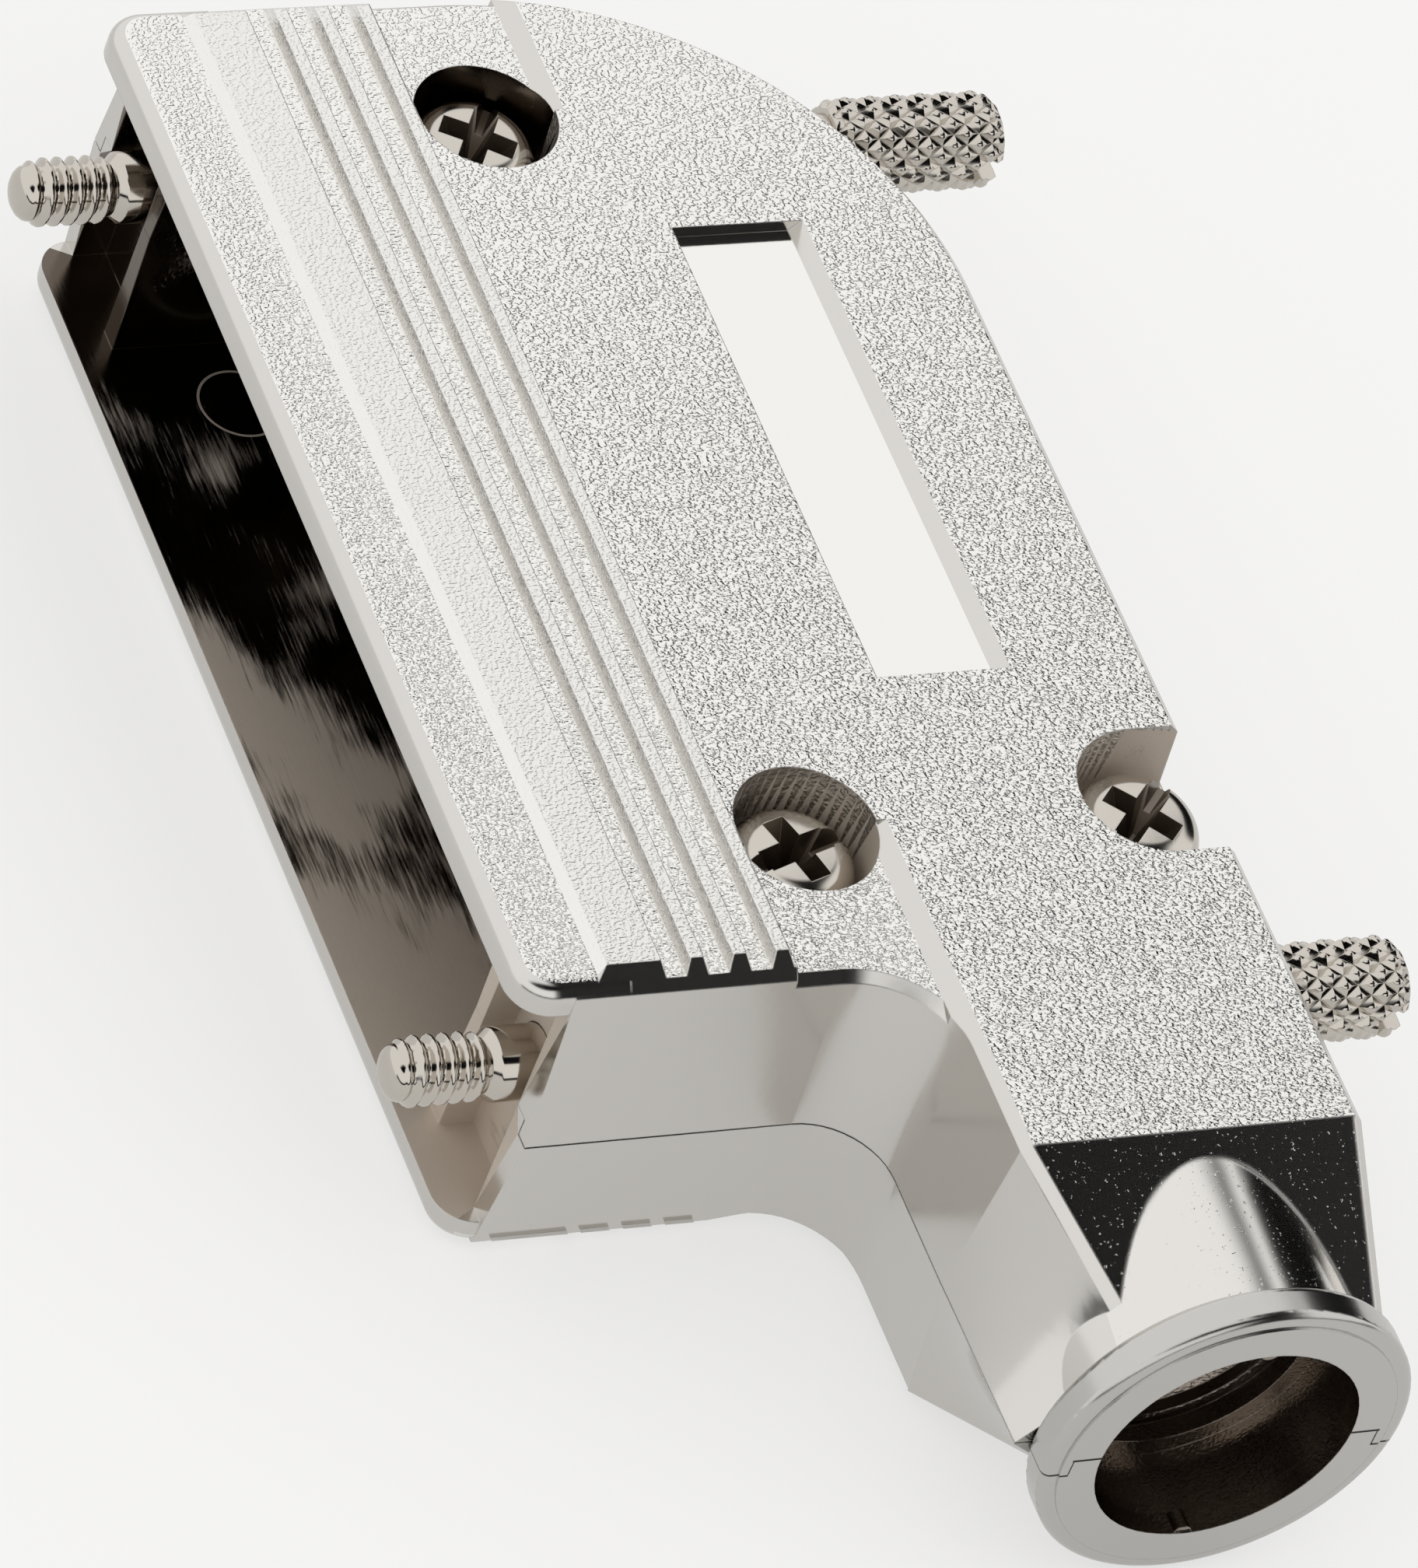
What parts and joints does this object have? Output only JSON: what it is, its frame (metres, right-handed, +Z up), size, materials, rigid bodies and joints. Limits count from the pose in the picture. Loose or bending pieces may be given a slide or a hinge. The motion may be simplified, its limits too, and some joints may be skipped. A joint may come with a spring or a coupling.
{
  "type": "d-sub hood",
  "caption": "Two-part die-cast metal hood for a 25-way d-sub connector, with a side cable outlet, knurled captive jackscrews and three cover screws.",
  "frame": {"origin": "midway between the two jackscrews, at the middle of their threads, 3 mm in front of the plane where the connector's flange seats", "axes": "+X along the mouth towards the cable outlet, +Y from the mouth to the back, +Z up through the shell that carries the cover screws"},
  "size_m": [0.0725, 0.0447, 0.0162],
  "materials": {
    "shell": "nickel-plated zinc, fine matt texture on the broad faces",
    "screws": "nickel-plated steel",
    "jackscrews": "nickel-plated steel, knurled heads",
    "rings": "spring steel"
  },
  "bodies": {
    "hood": {"upper_shell": "shell", "lower_shell": "shell", "far_screw": "screws", "near_screw": "screws", "back_screw": "screws"},
    "far_slider": {"far_ring": "rings"},
    "far_jack": {"far_jackscrew": "jackscrews"},
    "near_slider": {"near_ring": "rings"},
    "near_jack": {"near_jackscrew": "jackscrews"}
  },
  "joints": [
    {"name": "far_jack_slide", "type": "slide", "parent": "hood", "child": "far_slider", "axis": [0, 1, 0], "range_m": [0, 0.0044]},
    {"name": "far_jack_turn", "type": "hinge", "parent": "far_slider", "child": "far_jack", "pos_m": [-0.02352, 0, 0], "axis": [0, 1, 0], "continuous": true},
    {"name": "near_jack_slide", "type": "slide", "parent": "hood", "child": "near_slider", "axis": [0, 1, 0], "range_m": [0, 0.0044]},
    {"name": "near_jack_turn", "type": "hinge", "parent": "near_slider", "child": "near_jack", "pos_m": [0.02352, 0, 0], "axis": [0, 1, 0], "continuous": true}
  ]
}
